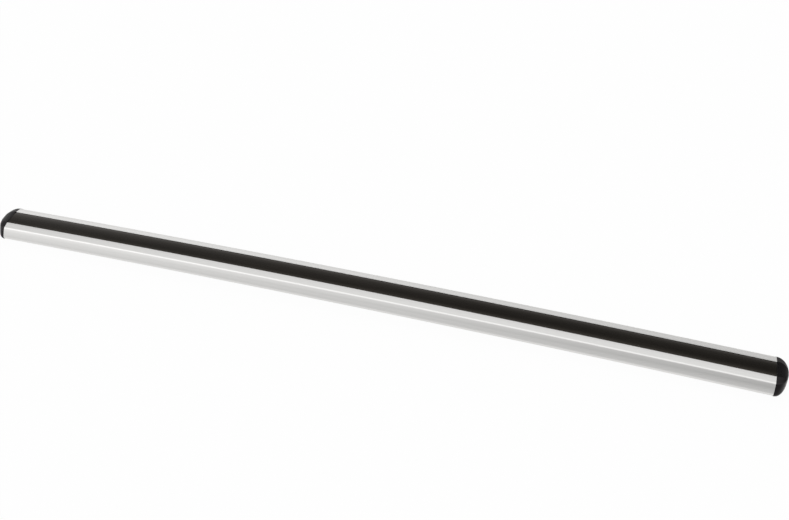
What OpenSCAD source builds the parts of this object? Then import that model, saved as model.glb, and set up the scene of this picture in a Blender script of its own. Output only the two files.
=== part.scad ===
// Roof rack crossbar: a crowned aluminium extrusion with a T-slot on top for accessories,
// a channel underneath for the feet, a rubber strip that fills the top slot, and a moulded
// cap that plugs into each end. X runs along the bar, Z is up, and the origin is the middle
// of the bar on the surface that it lies on.

/* [Bar] */
// Length of the extrusion from end to end, along the chord of its underside
bar_length = 1200; // [700:10:1500]
// Radius to which the whole extrusion is bent
crown_radius = 24700; // [15000:100:60000]
// Height of the section
bar_height = 28; // [26:0.5:32]
// Thickness of the outer skin and of the inner webs
skin = 1.8; // [1.4:0.1:2.1]

/* [Outline] */
// Half width from the middle to each crease of the top
crease_half = 23.5; // [22:0.1:26]
// Drop from the edge of the recess to the crease
crease_drop = 2.7; // [2:0.1:4]
// Rounding of the crease
crease_r = 3; // [2.8:0.1:3.6]
// Bulge of the side between the crease and the nose
side_bulge = 0.4; // [0.3:0.05:0.5]
// Rounding of that side
side_r = 9; // [7:0.5:9.5]
// Half width at the nose, which is the widest part
nose_half = 33; // [32:0.1:36]
// Height of the nose above the underside
nose_height = 12; // [10.5:0.1:14]
// Rounding of the nose
nose_r = 4.6; // [3.5:0.1:6]
// Half width of the flat underside
base_half = 17; // [16:0.1:20]
// Rounding of the underside's edges
base_r = 3.4; // [2.8:0.1:4.5]

/* [Top slot] */
// Width of the recess that holds the rubber strip
recess_w = 25.6; // [24.5:0.1:27]
// Depth of the recess
recess_depth = 2.4; // [2:0.1:3]
// Rounding of the skin beside the recess
shoulder_r = 3; // [2.8:0.1:4]
// Width of the slot's mouth
top_mouth_w = 12; // [10:0.1:14]
// Thickness of the lips at the mouth
top_lip = 2.4; // [1.8:0.1:3]
// Width of the slot under its lips
top_slot_w = 22; // [19:0.1:23]
// Height of the slot under its lips
top_slot_h = 7.6; // [6:0.1:8.5]

/* [Foot channel] */
// Width of the channel's mouth
foot_mouth_w = 11; // [8:0.1:14]
// Thickness of the lips at the mouth
foot_lip = 2.8; // [2:0.1:3.6]
// Width of the channel above its lips
foot_slot_w = 22; // [18:0.1:23]

/* [Rubber strip] */
// Clearance between the strip and the metal around it
strip_gap = 0.15; // [0.1:0.05:0.3]
// Clearance between each end of the strip and the end cap
strip_end_gap = 0.3; // [0.1:0.1:1]
// Height of the strip's middle over the edges of the recess
strip_rise = 0.5; // [0.2:0.1:1]
// Bevel along the strip's two upper edges
strip_bevel = 0.7; // [0.3:0.1:1]
// Thickness of each anchor leg
leg_w = 1.8; // [1.4:0.1:2.4]
// Reach of each leg's barb under its lip
barb_reach = 1.3; // [0.8:0.1:2]
// Height of each barb
barb_h = 1.6; // [1:0.1:2]

/* [End caps] */
// Straight rim of the cap, before its dome starts
cap_rim = 0.8; // [0.4:0.1:3]
// Length of the dome beyond the rim
dome_depth = 16.3; // [10:0.1:25]
// Height of the dome's tip above the bar's underside
dome_tip = 20; // [12:0.5:24]
// Outline of the cap, proud of the bar's by this much
cap_proud = 0.4; // [0.2:0.1:1]
// Thickness of the cap's moulded wall
cap_wall = 2.6; // [2.5:0.1:3]
// Clearance between the cap's rim and the end of the bar
cap_seat_gap = 0.05; // [0.02:0.01:0.2]
// Length of the plugs inside the bar
plug_length = 28; // [15:1:40]
// Clearance between a plug and the walls of its chamber
plug_gap = 0.25; // [0.2:0.05:0.3]
// Wall of the hollow plugs
plug_wall = 1.8; // [1.2:0.1:2.4]
// Length of the tapered lead-in at the plug's tip
lead_length = 4; // [2:0.5:8]
// Taper of the lead-in on each side
lead_taper = 0.5; // [0.2:0.1:0.6]

/* [Hidden] */

// Angle from the middle of the bar to its end, and how far the end lies below the middle
end_lean = asin(bar_length / 2 / crown_radius);
crown = crown_radius * (1 - cos(end_lean));
// The lower edge of each cap's rim is the lowest point of the whole bar.
lift = cap_proud * cos(end_lean) + (cap_seat_gap + cap_rim) * sin(end_lean);

// Heights in the section, above the underside
recess_floor = bar_height - recess_depth;
top_lip_under = recess_floor - top_lip;
top_slot_floor = top_lip_under - top_slot_h;
foot_slot_roof = top_slot_floor - skin;

// Half widths in the section
web_half = max(top_slot_w, foot_slot_w) / 2 + skin;
shoulder_half = recess_w / 2 + skin;

// The crease's rounding faces halfway between the top's slope and the side's.
crease_facing = 33;
arc_fn = 64;
hull_fn = 24;
strip_top_fn = 1536;
crown_steps = 20;
dome_steps = 11;
dome_last = 85;
// Plan and side view of the dome: an ellipse, and a blunter curve.
dome_side_power = 0.5;
slice_t = 0.05;
// Flats end this far inside the roundings, so that each flat and rounding meet in one line.
tuck = 0.0005;
cut = 1;

// Ends of the straight line that touches corners a and b from outside
function tangent(a, b, inset) =
    let (
        run = [b[0] - a[0], b[1] - a[1]],
        span = norm(run),
        along = (a[2] - b[2]) / span,
        across = sqrt(1 - along * along),
        facing = [run[0] * along + run[1] * across, run[1] * along - run[0] * across] / span
    )
    [
        [a[0], a[1]] + (a[2] - inset - tuck) * facing,
        [b[0], b[1]] + (b[2] - inset - tuck) * facing
    ];

// Rounded corners of the section's right half: distance from the middle, height and radius
crease_corner = [
    crease_half - crease_r * sin(crease_facing),
    bar_height - crease_drop - crease_r * cos(crease_facing),
    crease_r
];
nose_corner = [nose_half - nose_r, nose_height, nose_r];

// The side's rounding swells out from the middle of the straight line between those two.
side_line = tangent(nose_corner, crease_corner, 0);
side_run = side_line[1] - side_line[0];
side_facing = [side_run[1], -side_run[0]] / norm(side_run);
side_centre = (side_line[0] + side_line[1]) / 2 + (side_bulge - side_r) * side_facing;

// All of them, from the recess down to the underside
CORNERS = [
    [recess_w / 2, bar_height - shoulder_r, shoulder_r],
    crease_corner,
    [side_centre[0], side_centre[1], side_r],
    nose_corner,
    [base_half, base_r, base_r]
];

// The section's outer shape, or one that runs parallel to it at a distance inside
module outline(inset = 0, fn = arc_fn) {
    ring = concat(
        [for (i = [len(CORNERS) - 1 : -1 : 0]) CORNERS[i]],
        [for (c = CORNERS) [-c[0], c[1], c[2]]]
    );
    for (c = ring)
        translate([c[0], c[1]])
            circle(r = c[2] - inset, $fn = fn);
    polygon([
        for (i = [0 : len(ring) - 1])
            each tangent(ring[i], ring[(i + 1) % len(ring)], inset)
    ]);
}

// A block across the middle of the section, between two heights
module band(half, low, high) {
    translate([-half, low])
        square([2 * half, high - low]);
}

// The two hollow chambers between the webs and the skin
module side_chambers() {
    difference() {
        outline(skin);
        band(web_half, -cut, bar_height + cut);
        band(shoulder_half, top_lip_under, bar_height + cut);
    }
}

module bar_section() {
    difference() {
        outline();
        side_chambers();
        band(recess_w / 2, recess_floor, bar_height + cut);
        band(top_mouth_w / 2, top_lip_under - cut, bar_height + cut);
        band(top_slot_w / 2, top_slot_floor, top_lip_under);
        band(foot_slot_w / 2, foot_lip, foot_slot_roof);
        band(foot_mouth_w / 2, -cut, foot_lip + cut);
    }
}

// Sweeps a section along the crown, as two halves that meet in the middle
module crowned(shorter = 0) {
    lean = end_lean - shorter / crown_radius * 180 / PI;
    for (side = [0, 1])
        mirror([side, 0, 0])
            translate([0, 0, lift + crown])
                rotate([-90, -90, 0])
                    translate([-crown_radius, 0, 0])
                        rotate_extrude(angle = lean, $fn = crown_steps * 360 / lean)
                            translate([crown_radius, 0])
                                rotate(-90)
                                    children();
}

module bar_extrusion() {
    color("silver")
        crowned()
            bar_section();
}

// One barbed leg that holds the strip down, on the right of the mouth
module anchor_leg() {
    outer = top_mouth_w / 2 - strip_gap;
    barb_top = top_lip_under - strip_gap;
    barb_tip = barb_top - barb_h;
    polygon([
        [outer - leg_w, recess_floor + strip_gap + cut],
        [outer - leg_w, barb_tip],
        [outer, barb_tip],
        [outer + barb_reach, barb_top],
        [outer, barb_top],
        [outer, recess_floor + strip_gap + cut]
    ]);
}

module strip_section() {
    half = recess_w / 2 - strip_gap;
    flat_half = half - strip_bevel;
    low = recess_floor + strip_gap;
    top_r = (flat_half * flat_half + strip_rise * strip_rise) / (2 * strip_rise);
    intersection() {
        translate([0, bar_height + strip_rise - top_r])
            circle(r = top_r, $fn = strip_top_fn);
        polygon([
            [-half, low],
            [half, low],
            [half, bar_height - strip_bevel],
            [flat_half - strip_bevel, bar_height + strip_bevel],
            [strip_bevel - flat_half, bar_height + strip_bevel],
            [-half, bar_height - strip_bevel]
        ]);
    }
    for (side = [0, 1])
        mirror([side, 0])
            anchor_leg();
}

module rubber_strip() {
    color([0.12, 0.11, 0.1])
        crowned(strip_end_gap)
            strip_section();
}

// Puts a cap's parts, drawn with X pointing out of the bar, at the right-hand end
module at_right_end() {
    translate([bar_length / 2, 0, lift])
        rotate([0, end_lean, 0])
            translate([cap_seat_gap, 0, 0])
                children();
}

// A thin slice of the section, or of one parallel to it, narrowed towards the dome's tip
module slice(x, inset, across = 1, up = 1) {
    translate([x, 0, 0])
        rotate([90, 0, 90])
            linear_extrude(slice_t)
                translate([0, dome_tip])
                    scale([across, up])
                        translate([0, -dome_tip])
                            outline(inset, hull_fn);
}

module dome(inset, depth) {
    hull() {
        slice(0, inset);
        for (i = [0 : dome_steps]) {
            turn = dome_last * i / dome_steps;
            slice(cap_rim + depth * sin(turn), inset, cos(turn), pow(cos(turn), dome_side_power));
        }
    }
}

// Outline of a plug, inside the chamber on the right of the section
module plug_section(inset) {
    intersection() {
        outline(skin + inset, hull_fn);
        translate([shoulder_half + inset, 0])
            square([nose_half, bar_height]);
    }
}

// Extrudes a section between two places along the bar
module along(from, to) {
    translate([from, 0, 0])
        rotate([90, 0, 90])
            linear_extrude(to - from)
                children();
}

// A hollow plug: a tapered tip, the length inside the bar, and walls on to the dome
module plug() {
    difference() {
        intersection() {
            hull() {
                along(lead_length - plug_length, dome_depth)
                    plug_section(plug_gap);
                along(-plug_length, slice_t - plug_length)
                    plug_section(plug_gap + lead_taper);
            }
            union() {
                dome(cap_wall / 2 - cap_proud, dome_depth - cap_wall / 2);
                along(-plug_length - cut, slice_t)
                    band(nose_half, 0, bar_height);
            }
        }
        along(-plug_length - cut, dome_depth + cap_wall)
            offset(delta = -plug_wall)
                plug_section(plug_gap);
    }
}

module end_cap() {
    difference() {
        dome(-cap_proud, dome_depth);
        translate([-slice_t, 0, 0])
            dome(cap_wall - cap_proud, dome_depth - cap_wall);
    }
    for (side = [0, 1])
        mirror([0, side, 0])
            plug();
}

module right_end_cap() {
    color([0.08, 0.08, 0.09])
        at_right_end()
            end_cap();
}

module left_end_cap() {
    color([0.08, 0.08, 0.09])
        mirror([1, 0, 0])
            at_right_end()
                end_cap();
}

bar_extrusion();
rubber_strip();
left_end_cap();
right_end_cap();
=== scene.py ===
"""Looks of the roof rack crossbar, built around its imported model.

X runs along the bar, Z is up, and the unit is the metre. Sizes of the section are in
millimetres, as on a drawing of the extrusion, and MM turns them into metres.
"""

import math

import bmesh
import bpy
from mathutils import Matrix, Vector
from mathutils.geometry import tessellate_polygon


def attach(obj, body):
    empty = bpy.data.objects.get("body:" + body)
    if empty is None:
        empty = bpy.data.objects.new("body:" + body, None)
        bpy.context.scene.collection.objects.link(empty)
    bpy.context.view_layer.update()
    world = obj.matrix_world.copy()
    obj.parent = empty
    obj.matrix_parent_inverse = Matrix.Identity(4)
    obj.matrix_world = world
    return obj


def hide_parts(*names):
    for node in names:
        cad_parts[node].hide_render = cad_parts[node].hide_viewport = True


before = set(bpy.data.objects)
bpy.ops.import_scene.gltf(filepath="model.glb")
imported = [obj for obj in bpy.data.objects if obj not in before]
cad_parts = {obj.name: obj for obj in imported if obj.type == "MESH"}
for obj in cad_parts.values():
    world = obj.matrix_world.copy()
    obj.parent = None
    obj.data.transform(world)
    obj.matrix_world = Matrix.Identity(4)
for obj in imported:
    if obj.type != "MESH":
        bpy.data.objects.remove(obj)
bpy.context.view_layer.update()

MM = 0.001

# Bar
BAR_LENGTH = 1200
CROWN_RADIUS = 24700
BAR_HEIGHT = 28
SKIN = 1.8

# Section, from the recess down to the underside. The crease is where the top meets the side,
# which swells a little between the crease and the nose.
RECESS_HALF = 12.8
SHOULDER_R = 3
CREASE_HALF = 23.5
CREASE_DROP = 2.7
CREASE_R = 5
CREASE_FACING = math.radians(33)
SIDE_BULGE = 0.37
SIDE_R = 45
NOSE_HALF = 33
NOSE_HEIGHT = 12
NOSE_R = 4.6
BASE_HALF = 17
BASE_R = 3.4

# Slots
RECESS_FLOOR = 25.6
TOP_MOUTH_HALF = 6
TOP_LIP_UNDER = 23.2
TOP_SLOT_HALF = 11
TOP_SLOT_FLOOR = 15.6
FOOT_MOUTH_HALF = 5.5
FOOT_LIP = 2.8
FOOT_SLOT_HALF = 11
FOOT_SLOT_ROOF = TOP_SLOT_FLOOR - SKIN
WEB_HALF = TOP_SLOT_HALF + SKIN
SHOULDER_HALF = RECESS_HALF + SKIN

# Rubber strip
STRIP_GAP = 0.15
STRIP_END_GAP = 0.3
STRIP_RISE = 0.44
STRIP_CROWN = 0.8
STRIP_FALL = 0.5
STRIP_EDGE_R = 0.6
LEG_W = 1.8
BARB_REACH = 1.3
BARB_H = 1.6

# End caps. DOME_TIP is how high the tip of the dome lies.
CAP_RIM = 0.8
DOME_DEPTH = 16.2
DOME_TIP = 20
CAP_PROUD = 0.4
CAP_WALL = 2.6
CAP_SEAT_GAP = 0.05
PLUG_LENGTH = 28
PLUG_GAP = 0.25
PLUG_WALL = 1.8
LEAD_LENGTH = 4
LEAD_TAPER = 0.5
CRUSH_RIBS_AT = (9, 17)
CRUSH_RIB_W = 1.0
CRUSH_RIB_H = 0.12

# Small roundings that a die or a mould leaves on every corner
DIE_R = 0.35
LIP_R = 0.6
MOULD_R = 0.25

# Fineness of the meshes
ARC_STEPS = 8
FILLET_STEPS = 4
STATIONS = 64
STRIP_STEPS = 20
DOME_STEPS = 26
DOME_MESH = 1.6
SHARP_EDGE = math.radians(32)

# How far the bar's ends lean, how much lower they lie than its middle, and how far the caps'
# lower edges lift them
END_LEAN = math.asin(BAR_LENGTH / 2 / CROWN_RADIUS)
CROWN = CROWN_RADIUS * (1 - math.cos(END_LEAN))
LIFT = CAP_PROUD * math.cos(END_LEAN) + (CAP_SEAT_GAP + CAP_RIM) * math.sin(END_LEAN)

# Colours that each material varies between
ALUMINIUM = ((0.715, 0.709, 0.697), (0.770, 0.764, 0.751))
RUBBER = ((0.0028, 0.0023, 0.0017), (0.0056, 0.0047, 0.0036))
PLASTIC = ((0.0016, 0.0014, 0.0016), (0.0030, 0.0027, 0.0029))
# Where nearly all values of a noise texture lie
NOISE_SPAN = (0.3, 0.7)

WHITE = (1, 1, 1, 1)

# The studio's wall: degrees over the bar from the front of the floor (0) by the ceiling (90) to
# the back (180), and its brightness there towards the left and towards the right. The rows are
# the floor's front, a wide soft box, the ceiling, a gap, and a second soft box at the back.
# These levels aren't a free choice. Most rows began as the rounded output of another program, a
# least-squares fit to the brightness across the bar in the photograph, and were then changed by
# hand.
STUDIO_WALL = (
    (0, 0.85, 0.50),
    (16, 0.86, 0.76),
    (34, 1.01, 0.12),
    (50, 1.65, 0.84),
    (65, 1.68, 1.16),
    (80, 1.25, 1.22),
    (95, 0.87, 1.03),
    (110, 0.63, 0.77),
    (124, 0.26, 0.04),
    (138, 0.72, 0.20),
    (152, 1.34, 0.84),
    (166, 0.97, 0.76),
    (180, 0.60, 0.45),
)
# The wall's left and right ends, as the X of a direction
WALL_ENDS = (-0.7, 0.3)
# Light that falls on everything from all around
EVEN_LIGHT = 0.9

# A large soft lamp overhead. Its radiance is the brightness that a mirror would show.
LAMP_AT = (-0.4, 0.15, 2.0)
LAMP_LENGTH = 4.0
LAMP_WIDTH = 1.5
LAMP_RADIANCE = 0.15

# The floor, with the share of its own plain white in what the camera and the metal see
FLOOR_HALF = 6
FLOOR_PAINT = (0.86, 0.86, 0.86, 1)
FLOOR_OWN_WHITE = 0.96

# Camera, fitted to the bar's edges in the photograph
CAMERA_AT = (0.3624, -0.8760, 1.0443)
CAMERA_AZIMUTH = 18.925
CAMERA_ELEVATION = 45.573
CAMERA_ROLL = -2.992
SENSOR_MM = 36
LENS_MM = 42.16


# Outlines

def crease_to_nose():
    """The crease's corner, the side's and the nose's, each as half width, height, radius."""
    crease = (
        CREASE_HALF - CREASE_R * math.sin(CREASE_FACING),
        BAR_HEIGHT - CREASE_DROP - CREASE_R * math.cos(CREASE_FACING),
        CREASE_R,
    )
    nose = (NOSE_HALF - NOSE_R, NOSE_HEIGHT, NOSE_R)
    facing = facing_of_side(crease, nose)
    middle_y = (crease[0] + nose[0] + (CREASE_R + NOSE_R) * math.cos(facing)) / 2
    middle_h = (crease[1] + nose[1] + (CREASE_R + NOSE_R) * math.sin(facing)) / 2
    back = SIDE_BULGE - SIDE_R
    side = (middle_y + back * math.cos(facing), middle_h + back * math.sin(facing), SIDE_R)
    return crease, side, nose


def facing_of_side(a, b):
    """Direction that the straight side between corners a and b faces, outward."""
    run_y = b[0] - a[0]
    run_h = b[1] - a[1]
    return math.atan2(run_h, run_y) + math.acos((a[2] - b[2]) / math.hypot(run_y, run_h))


def side_points(inset=0.0, first_facing=math.pi / 2):
    """The right side of the section's outline, or of one parallel to it, going down. A corner
    too tight for the inset becomes a plain corner, with its points in one place."""
    corners = [
        (RECESS_HALF, BAR_HEIGHT - SHOULDER_R, SHOULDER_R),
        *crease_to_nose(),
        (BASE_HALF, BASE_R, BASE_R),
    ]
    facings = [first_facing]
    facings += [facing_of_side(a, b) for a, b in zip(corners, corners[1:])]
    facings += [-math.pi / 2]
    points = []
    for (y, h, r), start, end in zip(corners, facings, facings[1:]):
        reach = r - inset
        if reach < 0:
            reach /= math.cos((start - end) / 2)
            start = end = (start + end) / 2
        for i in range(ARC_STEPS + 1):
            facing = start + (end - start) * i / ARC_STEPS
            points.append((y + reach * math.cos(facing), h + reach * math.sin(facing)))
    return points


def below_shoulder(points):
    """Those of side_points from the crease down."""
    return points[ARC_STEPS + 1:]


def closed_by_mirror(right):
    """A closed loop from the points of its right side, corner roundings included."""
    return list(right) + [(-p[0], *p[1:]) for p in reversed(right)]


def fillet(before, corner, after, radius):
    """The arc that rounds one corner."""
    at = Vector(corner)
    back = (Vector(before) - at).normalized()
    on = (Vector(after) - at).normalized()
    half = back.angle(on) / 2
    start = at + back * radius / math.tan(half)
    end = at + on * radius / math.tan(half)
    centre = at + (back + on).normalized() * radius / math.sin(half)
    points = []
    for i in range(FILLET_STEPS + 1):
        spoke = (start - centre).slerp(end - centre, i / FILLET_STEPS).normalized()
        points.append(tuple(centre + spoke * radius))
    return points


def rounded(loop):
    """A closed loop with each (y, h, radius) corner rounded. Points with no radius stay."""
    points = []
    for i, p in enumerate(loop):
        if len(p) == 2:
            points.append(p)
        else:
            after = loop[(i + 1) % len(loop)]
            points += fillet(loop[i - 1][:2], p[:2], after[:2], p[2])
    return points


def cap_loop(inset):
    """The whole outline at that inset, in short stretches, with as many points at any inset."""
    plan = closed_by_mirror(side_points())
    loop = closed_by_mirror(side_points(inset))
    points = []
    for i, a in enumerate(loop):
        b = loop[(i + 1) % len(loop)]
        stretch = math.dist(plan[i], plan[(i + 1) % len(plan)])
        pieces = max(1, math.ceil(stretch / DOME_MESH))
        points += [
            (a[0] + (b[0] - a[0]) * j / pieces, a[1] + (b[1] - a[1]) * j / pieces)
            for j in range(pieces)
        ]
    return points


def height_at(points, y):
    """Height at which the line through points first passes y."""
    for a, b in zip(points, points[1:]):
        if a[0] <= y <= b[0]:
            return a[1] + (b[1] - a[1]) * (y - a[0]) / (b[0] - a[0])
    raise ValueError(f"the outline doesn't reach {y}")


def bar_loop():
    """The extrusion's outer outline, in and out of both of its slots."""
    after_edge = math.acos(2 * DIE_R / SHOULDER_R)
    return rounded(closed_by_mirror([
        (TOP_SLOT_HALF, TOP_SLOT_FLOOR, LIP_R),
        (TOP_SLOT_HALF, TOP_LIP_UNDER, LIP_R),
        (TOP_MOUTH_HALF, TOP_LIP_UNDER, DIE_R),
        (TOP_MOUTH_HALF, RECESS_FLOOR, DIE_R),
        (RECESS_HALF, RECESS_FLOOR, DIE_R),
        (RECESS_HALF, BAR_HEIGHT, DIE_R),
        *side_points(first_facing=after_edge),
        (FOOT_MOUTH_HALF, 0, DIE_R),
        (FOOT_MOUTH_HALF, FOOT_LIP, DIE_R),
        (FOOT_SLOT_HALF, FOOT_LIP, LIP_R),
        (FOOT_SLOT_HALF, FOOT_SLOT_ROOF, LIP_R),
    ]))


def chamber_loop():
    """The hollow chamber on the right of the section."""
    inner = side_points(SKIN)
    return rounded([
        (SHOULDER_HALF, height_at(inner, SHOULDER_HALF), DIE_R),
        *below_shoulder(inner),
        (WEB_HALF, SKIN, LIP_R),
        (WEB_HALF, TOP_LIP_UNDER, LIP_R),
        (SHOULDER_HALF, TOP_LIP_UNDER, DIE_R),
    ])


def plug_loop(gap, rib=0.0):
    """The cap's plug in the right chamber, at that gap from the chamber's walls. The wall next
    to the slot carries fine ribs that grip."""
    inner = side_points(SKIN + gap)
    wall = SHOULDER_HALF + gap
    ribs = []
    for at in CRUSH_RIBS_AT:
        for up, out in ((-1, 0), (-0.5, rib), (0.5, rib), (1, 0)):
            ribs.append((wall - out, at + up * CRUSH_RIB_W / 2))
    return rounded([
        (wall, height_at(inner, wall), MOULD_R),
        *below_shoulder(inner),
        (wall, SKIN + gap, MOULD_R),
        *ribs,
    ])


def strip_loop():
    """The rubber strip: a slab with a pillowed top and two barbed legs."""
    half = RECESS_HALF - STRIP_GAP
    low = RECESS_FLOOR + STRIP_GAP
    leg = TOP_MOUTH_HALF - STRIP_GAP
    barb_top = TOP_LIP_UNDER - STRIP_GAP
    barb_tip = barb_top - BARB_H

    def top(y):
        u = y / half
        return BAR_HEIGHT + STRIP_RISE - STRIP_CROWN * u ** 2 - STRIP_FALL * u ** 6

    last = half - STRIP_EDGE_R - DIE_R
    crown = [last * i / STRIP_STEPS for i in range(1, STRIP_STEPS + 1)]
    return rounded(closed_by_mirror([
        (leg - LEG_W, low, DIE_R),
        (leg - LEG_W, barb_tip, DIE_R),
        (leg, barb_tip, DIE_R),
        (leg + BARB_REACH, barb_top, DIE_R / 2),
        (leg, barb_top, DIE_R / 2),
        (leg, low, DIE_R),
        (half, low, DIE_R),
        (half, top(half), STRIP_EDGE_R),
        *[(y, top(y)) for y in reversed(crown)],
        (0, top(0)),
    ])[:-1])


# Places

def on_the_bar(s, y, h):
    """A point of the bent bar: s along it from its middle, y across and h above its underside."""
    lean = s / CROWN_RADIUS
    radius = CROWN_RADIUS + h
    x = radius * math.sin(lean)
    z = LIFT + CROWN - CROWN_RADIUS + radius * math.cos(lean)
    return (x * MM, y * MM, z * MM)


def on_a_cap(side, x, y, h):
    """A point of the right (side 1) or left (side -1) cap: x outward from the bar's end."""
    out = x + CAP_SEAT_GAP
    along = BAR_LENGTH / 2 + out * math.cos(END_LEAN) + h * math.sin(END_LEAN)
    up = LIFT - out * math.sin(END_LEAN) + h * math.cos(END_LEAN)
    return (side * along * MM, y * MM, up * MM)


# Meshes

def new_piece(name, verts, faces, straight):
    """A mesh object. straight holds each vertex's place before the bar was bent, in metres."""
    mesh = bpy.data.meshes.new(name)
    mesh.from_pydata(verts, [], faces)
    attribute = mesh.attributes.new("straight", "FLOAT_VECTOR", "POINT")
    attribute.data.foreach_set("vector", [c * MM for p in straight for c in p])
    bm = bmesh.new()
    bm.from_mesh(mesh)
    bmesh.ops.remove_doubles(bm, verts=bm.verts, dist=1e-7)
    bmesh.ops.recalc_face_normals(bm, faces=bm.faces)
    bm.to_mesh(mesh)
    bm.free()
    mesh.shade_smooth()
    mesh.set_sharp_from_angle(angle=SHARP_EDGE)
    piece = bpy.data.objects.new(name, mesh)
    bpy.context.scene.collection.objects.link(piece)
    return piece


def swept(name, loops, half_length):
    """The outer loop, with the holes in it, carried along the crown and closed at both ends."""
    verts, faces, straight = [], [], []
    for station in range(STATIONS + 1):
        s = half_length * (2 * station / STATIONS - 1)
        for loop in loops:
            for y, h in loop:
                verts.append(on_the_bar(s, y, h))
                straight.append((s, y, h))
    ring = sum(len(loop) for loop in loops)
    first = 0
    for loop in loops:
        for station in range(STATIONS):
            for i in range(len(loop)):
                a = station * ring + first + i
                b = station * ring + first + (i + 1) % len(loop)
                faces.append((a, b, b + ring, a + ring))
        first += len(loop)
    flat = [[Vector((y, h, 0)) for y, h in loop] for loop in loops]
    for triangle in tessellate_polygon(flat):
        faces.append(tuple(triangle))
        faces.append(tuple(i + STATIONS * ring for i in triangle))
    return new_piece(name, verts, faces, straight)


def dome_slices(inset, depth):
    """Closed slices of a dome from its straight rim to near its tip, as lists of (x, y, h)."""
    loop = cap_loop(inset)
    slices = []
    for i in range(DOME_STEPS):
        across, up, x = dome_at(math.pi / 2 * i / DOME_STEPS, depth)
        slices.append([(x, y * across, DOME_TIP + (h - DOME_TIP) * up) for y, h in loop])
    return slices


def dome_at(turn, depth):
    """How far a dome has narrowed across and in height after that much of its quarter turn,
    and how far out that is."""
    across = math.cos(turn)
    return across, math.sqrt(across), CAP_RIM + depth * math.sin(turn)


def is_inside(loop, y, h):
    """Whether a point lies in a convex loop that runs clockwise."""
    for a, b in zip(loop, loop[1:] + loop[:1]):
        if (b[0] - a[0]) * (h - a[1]) - (b[1] - a[1]) * (y - a[0]) > 0:
            return False
    return True


def dome_over(loop, depth, y, h):
    """How far out the dome on that loop lies over a point of the section."""
    low, high = 0.0, math.pi / 2
    halvings = 20
    for _ in range(halvings):
        turn = (low + high) / 2
        across, up, _x = dome_at(turn, depth)
        if is_inside(loop, y / across, DOME_TIP + (h - DOME_TIP) / up):
            low = turn
        else:
            high = turn
    return dome_at(low, depth)[2]


class Shell:
    """Collects the rings of one moulding, in the cap's own places."""

    def __init__(self, side):
        self.side = side
        self.verts = []
        self.faces = []
        self.straight = []

    def ring(self, points):
        first = len(self.verts)
        for x, y, h in points:
            self.verts.append(on_a_cap(self.side, x, y, h))
            self.straight.append((x, y, h))
        return range(first, first + len(points))

    def join(self, a, b):
        n = len(a)
        for i in range(n):
            self.faces.append((a[i], a[(i + 1) % n], b[(i + 1) % n], b[i]))

    def tip(self, ring, point):
        (end,) = self.ring([point])
        n = len(ring)
        for i in range(n):
            self.faces.append((ring[i], ring[(i + 1) % n], end))

    def chain(self, rings):
        for a, b in zip(rings, rings[1:]):
            self.join(a, b)


def domed_skin(shell):
    """The cap's outside, its rim and its inside, as one closed shell."""
    outside = [
        [(x, y, h) for y, h in cap_loop(inset)]
        for x, inset in ((0, MOULD_R - CAP_PROUD), (MOULD_R, -CAP_PROUD))
    ]
    outside += dome_slices(-CAP_PROUD, DOME_DEPTH)
    inside = [[(0, y, h) for y, h in cap_loop(CAP_WALL - CAP_PROUD)]]
    inside += dome_slices(CAP_WALL - CAP_PROUD, DOME_DEPTH - CAP_WALL)
    outer = [shell.ring(points) for points in outside]
    inner = [shell.ring(points) for points in inside]
    shell.chain(outer)
    shell.chain(inner)
    shell.join(outer[0], inner[0])
    shell.tip(outer[-1], (CAP_RIM + DOME_DEPTH, 0, DOME_TIP))
    shell.tip(inner[-1], (CAP_RIM + DOME_DEPTH - CAP_WALL, 0, DOME_TIP))


def plug(shell, across):
    """A hollow plug from its tapered tip to the middle of the dome's wall."""
    skin = cap_loop(CAP_WALL / 2 - CAP_PROUD)
    depth = DOME_DEPTH - CAP_WALL / 2
    outer = plug_loop(PLUG_GAP, CRUSH_RIB_H)
    hollow = plug_loop(PLUG_GAP + PLUG_WALL)
    lead = plug_loop(PLUG_GAP + LEAD_TAPER)

    def ring(loop, x=None):
        return shell.ring([
            (dome_over(skin, depth, y, h) if x is None else x, across * y, h) for y, h in loop
        ])

    rings = [
        ring(hollow),
        ring(hollow, -PLUG_LENGTH),
        ring(lead, -PLUG_LENGTH),
        ring(outer, LEAD_LENGTH - PLUG_LENGTH),
        ring(outer, 0),
        ring(outer),
    ]
    shell.chain(rings + rings[:1])


def end_cap(name, side):
    """One moulding: the domed skin and two hollow plugs."""
    shell = Shell(side)
    domed_skin(shell)
    for across in (1, -1):
        plug(shell, across)
    return new_piece(name, shell.verts, shell.faces, shell.straight)


# Materials

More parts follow.
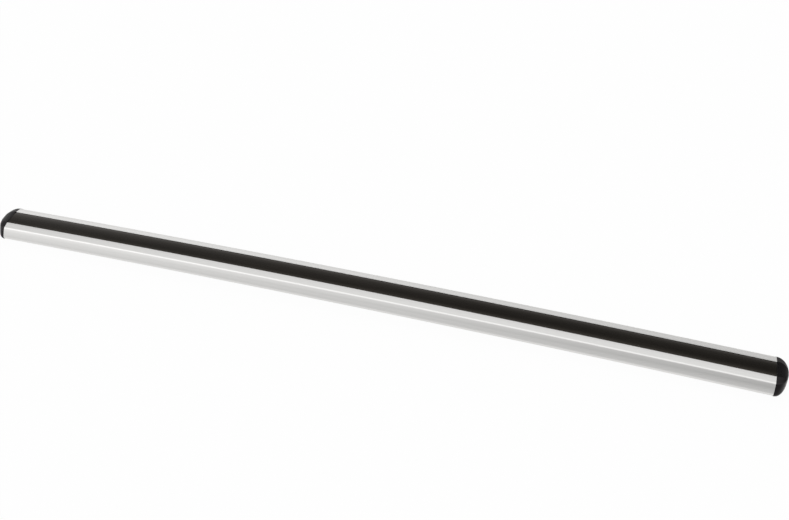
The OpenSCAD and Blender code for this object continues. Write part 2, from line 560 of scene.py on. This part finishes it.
class Nodes:
    """Short names for the nodes of one material."""

    def __init__(self, name):
        self.material = bpy.data.materials.new(name)
        self.material.use_nodes = True
        self.tree = self.material.node_tree
        self.shader = self.tree.nodes["Principled BSDF"]
        self.output = self.tree.nodes["Material Output"]

    def add(self, kind, **inputs):
        node = self.tree.nodes.new(kind)
        for key, value in inputs.items():
            self.set(node, key, value)
        return node

    def set(self, node, key, value):
        socket = node.inputs[key.replace("_", " ")]
        if isinstance(value, bpy.types.NodeSocket):
            self.tree.links.new(value, socket)
        else:
            socket.default_value = value

    def straight(self, stretch):
        """Places on the unbent bar, times stretch along, across and up."""
        place = self.add("ShaderNodeAttribute")
        place.attribute_name = "straight"
        scaled = self.tree.nodes.new("ShaderNodeVectorMath")
        scaled.operation = "MULTIPLY"
        self.tree.links.new(place.outputs["Vector"], scaled.inputs[0])
        scaled.inputs[1].default_value = stretch
        return scaled.outputs[0]

    def noise(self, stretch, detail=2.0):
        """Noise with as many cells in a metre along, across and up as stretch says."""
        place = self.straight(stretch)
        node = self.add("ShaderNodeTexNoise", Vector=place, Scale=1.0, Detail=detail)
        return node.outputs["Fac"]

    def spread(self, noise, low, high):
        """Values from low to high, as the noise goes."""
        node = self.add("ShaderNodeMapRange", Value=noise, To_Min=low, To_Max=high)
        self.set(node, "From_Min", NOISE_SPAN[0])
        self.set(node, "From_Max", NOISE_SPAN[1])
        return node.outputs["Result"]

    def colours(self, noise, pair):
        """Colours from the first of the pair to the second, as the noise goes."""
        ramp = self.tree.nodes.new("ShaderNodeValToRGB")
        for step, position, colour in zip(ramp.color_ramp.elements, NOISE_SPAN, pair):
            step.position = position
            step.color = (*colour, 1)
        self.tree.links.new(noise, ramp.inputs["Fac"])
        return ramp.outputs["Color"]

    def bump(self, height, distance, strength, under=None):
        """Relief of that many metres, over the relief under it if there is one."""
        node = self.add("ShaderNodeBump", Height=height, Distance=distance, Strength=strength)
        if under is not None:
            self.set(node, "Normal", under)
        return node.outputs["Normal"]


def anodised_aluminium():
    """Extruded, etched and clear anodised: fine die lines along the bar, and a soft sheen."""
    m = Nodes("anodised_aluminium")
    die_lines = m.noise((1.5, 2600, 2600), detail=3.0)
    bands = m.noise((0.6, 210, 210))
    etching = m.noise((5200, 5200, 5200))
    m.shader.inputs["Metallic"].default_value = 1.0
    m.set(m.shader, "Base Color", m.colours(bands, ALUMINIUM))
    m.set(m.shader, "Roughness", m.spread(die_lines, low=0.30, high=0.38))
    drawn = m.bump(die_lines, distance=0.00002, strength=0.25)
    etched = m.bump(etching, distance=0.00001, strength=0.15, under=drawn)
    m.set(m.shader, "Normal", etched)
    return m.material


def black_rubber():
    """Extruded rubber with faint drawn lines and a slight bloom."""
    m = Nodes("black_rubber")
    lines = m.noise((2, 1800, 1800), detail=3.0)
    bloom = m.noise((9, 120, 120), detail=4.0)
    grain = m.noise((2600, 2600, 2600))
    m.set(m.shader, "Base Color", m.colours(bloom, RUBBER))
    m.set(m.shader, "Roughness", m.spread(bloom, low=0.22, high=0.28))
    m.shader.inputs["Specular IOR Level"].default_value = 0.42
    m.shader.inputs["Specular Tint"].default_value = (1, 0.89, 0.78, 1)
    drawn = m.bump(lines, distance=0.00004, strength=0.3)
    grained = m.bump(grain, distance=0.00004, strength=0.3, under=drawn)
    m.set(m.shader, "Normal", grained)
    return m.material


def black_plastic():
    """Moulded plastic with a fine spark-eroded texture."""
    m = Nodes("black_plastic")
    texture = m.noise((1500, 1500, 1500), detail=3.0)
    flow = m.noise((70, 70, 70))
    m.set(m.shader, "Base Color", m.colours(flow, PLASTIC))
    m.set(m.shader, "Roughness", m.spread(texture, low=0.24, high=0.32))
    m.shader.inputs["Specular IOR Level"].default_value = 0.28
    m.shader.inputs["Specular Tint"].default_value = (1, 0.93, 0.95, 1)
    m.set(m.shader, "Normal", m.bump(texture, distance=0.00012, strength=0.5))
    return m.material


def dress(piece, material, body, node):
    """Gives a piece its material, the body that it moves with and the node that it replaces."""
    piece.data.materials.append(material)
    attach(piece, body)
    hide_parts(node)


# Stage

def add_camera():
    azimuth = math.radians(CAMERA_AZIMUTH)
    elevation = math.radians(CAMERA_ELEVATION)
    roll = math.radians(CAMERA_ROLL)
    back = Vector((
        math.sin(azimuth) * math.cos(elevation),
        -math.cos(azimuth) * math.cos(elevation),
        math.sin(elevation),
    ))
    level_right = (-back).cross(Vector((0, 0, 1))).normalized()
    level_up = level_right.cross(-back)
    right = level_right * math.cos(roll) + level_up * math.sin(roll)
    up = level_up * math.cos(roll) - level_right * math.sin(roll)
    camera = bpy.data.objects.new("camera", bpy.data.cameras.new("camera"))
    camera.data.sensor_width = SENSOR_MM
    camera.data.lens = LENS_MM
    camera.data.clip_start = 0.01
    turned = Matrix((right, up, back)).transposed().to_4x4()
    camera.matrix_world = Matrix.Translation(CAMERA_AT) @ turned
    bpy.context.scene.collection.objects.link(camera)
    bpy.context.scene.camera = camera


def add_lamp():
    """The lamp overhead. A lamp points down as it is made."""
    light = bpy.data.lights.new("overhead", "AREA")
    light.shape = "RECTANGLE"
    light.size = LAMP_LENGTH
    light.size_y = LAMP_WIDTH
    light.energy = LAMP_RADIANCE * math.pi * LAMP_WIDTH * LAMP_LENGTH
    lamp = bpy.data.objects.new("overhead", light)
    lamp.location = LAMP_AT
    bpy.context.scene.collection.objects.link(lamp)


def sees_background(tree):
    """1 for camera, glossy and transmission rays, to which the floor shows its own white."""
    path = tree.nodes.new("ShaderNodeLightPath")
    total = path.outputs["Is Camera Ray"]
    for name in ("Is Glossy Ray", "Is Transmission Ray"):
        larger = tree.nodes.new("ShaderNodeMath")
        larger.operation = "MAXIMUM"
        tree.links.new(total, larger.inputs[0])
        tree.links.new(path.outputs[name], larger.inputs[1])
        total = larger.outputs[0]
    return total


def add_floor():
    """A pale floor. Its own white carries most of what the camera sees, and the rest takes
    the object's soft shadow."""
    mesh = bpy.data.meshes.new("floor")
    turns = ((-1, -1), (1, -1), (1, 1), (-1, 1))
    corners = [(x * FLOOR_HALF, y * FLOOR_HALF, 0) for x, y in turns]
    mesh.from_pydata(corners, [], [(0, 1, 2, 3)])
    floor = bpy.data.objects.new("floor", mesh)
    bpy.context.scene.collection.objects.link(floor)
    m = Nodes("floor")
    m.tree.nodes.remove(m.shader)
    paint = m.add("ShaderNodeBsdfDiffuse", Color=FLOOR_PAINT)
    white = m.add("ShaderNodeEmission", Color=WHITE, Strength=1.0)
    both = m.tree.nodes.new("ShaderNodeMixShader")
    share = m.tree.nodes.new("ShaderNodeMath")
    share.operation = "MULTIPLY"
    m.tree.links.new(sees_background(m.tree), share.inputs[0])
    share.inputs[1].default_value = FLOOR_OWN_WHITE
    m.tree.links.new(share.outputs[0], both.inputs[0])
    m.tree.links.new(paint.outputs[0], both.inputs[1])
    m.tree.links.new(white.outputs[0], both.inputs[2])
    m.tree.links.new(both.outputs[0], m.output.inputs["Surface"])
    mesh.materials.append(m.material)


def add_world():
    """The studio: plain white to the camera, a plain even light, and for reflections the wall
    with its soft boxes, so that the metal shows that pale studio."""
    world = bpy.data.worlds.new("studio")
    world.use_nodes = True
    bpy.context.scene.world = world
    tree = world.node_tree
    tree.nodes.clear()

    def calculated(operation, first, second):
        node = tree.nodes.new("ShaderNodeMath")
        node.operation = operation
        for socket, value in zip(node.inputs, (first, second)):
            if isinstance(value, bpy.types.NodeSocket):
                tree.links.new(value, socket)
            else:
                socket.default_value = value
        return node.outputs[0]

    def share(value, low, high):
        node = tree.nodes.new("ShaderNodeMapRange")
        tree.links.new(value, node.inputs["Value"])
        node.inputs["From Min"].default_value = low
        node.inputs["From Max"].default_value = high
        return node.outputs["Result"]

    def wall_ramp(column):
        ramp = tree.nodes.new("ShaderNodeValToRGB")
        steps = ramp.color_ramp.elements
        steps.remove(steps[1])
        for row in STUDIO_WALL:
            step = steps[0] if row is STUDIO_WALL[0] else steps.new(row[0] / 180)
            step.position = row[0] / 180
            step.color = (row[column], row[column], row[column], 1)
        tree.links.new(over_the_bar, ramp.inputs["Fac"])
        return ramp.outputs["Color"]

    def background(colour, strength=1.0):
        node = tree.nodes.new("ShaderNodeBackground")
        if isinstance(colour, bpy.types.NodeSocket):
            tree.links.new(colour, node.inputs["Color"])
        else:
            node.inputs["Color"].default_value = colour
        node.inputs["Strength"].default_value = strength
        return node.outputs[0]

    def chosen(choice, otherwise, when):
        node = tree.nodes.new("ShaderNodeMixShader")
        tree.links.new(choice, node.inputs[0])
        tree.links.new(otherwise, node.inputs[1])
        tree.links.new(when, node.inputs[2])
        return node.outputs[0]

    direction = tree.nodes.new("ShaderNodeTexCoord")
    parts = tree.nodes.new("ShaderNodeSeparateXYZ")
    tree.links.new(direction.outputs["Generated"], parts.inputs[0])
    to_front = calculated("MULTIPLY", parts.outputs["Y"], -1)
    angle = calculated("ARCTAN2", parts.outputs["Z"], to_front)
    over_the_bar = share(angle, 0, math.pi)
    to_right = share(parts.outputs["X"], *WALL_ENDS)
    wall = chosen(to_right, background(wall_ramp(1)), background(wall_ramp(2)))
    rays = tree.nodes.new("ShaderNodeLightPath").outputs
    light = chosen(rays["Is Glossy Ray"], background(WHITE, EVEN_LIGHT), wall)
    seen = calculated("MAXIMUM", rays["Is Camera Ray"], rays["Is Transmission Ray"])
    out = tree.nodes.new("ShaderNodeOutputWorld")
    tree.links.new(chosen(seen, light, background(WHITE)), out.inputs["Surface"])


add_camera()
add_world()
add_floor()
add_lamp()

aluminium = anodised_aluminium()
rubber = black_rubber()
plastic = black_plastic()

half_bar = CROWN_RADIUS * END_LEAN
chamber = chamber_loop()
other_chamber = [(-y, h) for y, h in chamber]
extrusion = swept("extrusion", [bar_loop(), chamber, other_chamber], half_bar)
strip = swept("strip", [strip_loop()], half_bar - STRIP_END_GAP)
dress(extrusion, aluminium, "bar", "bar_extrusion")
dress(strip, rubber, "bar", "rubber_strip")
for cap_name, cap_side in (("left", -1), ("right", 1)):
    cap = end_cap(cap_name + "_cap_moulding", cap_side)
    dress(cap, plastic, cap_name + "_cap", cap_name + "_end_cap")

bpy.context.scene.view_settings.view_transform = "Standard"
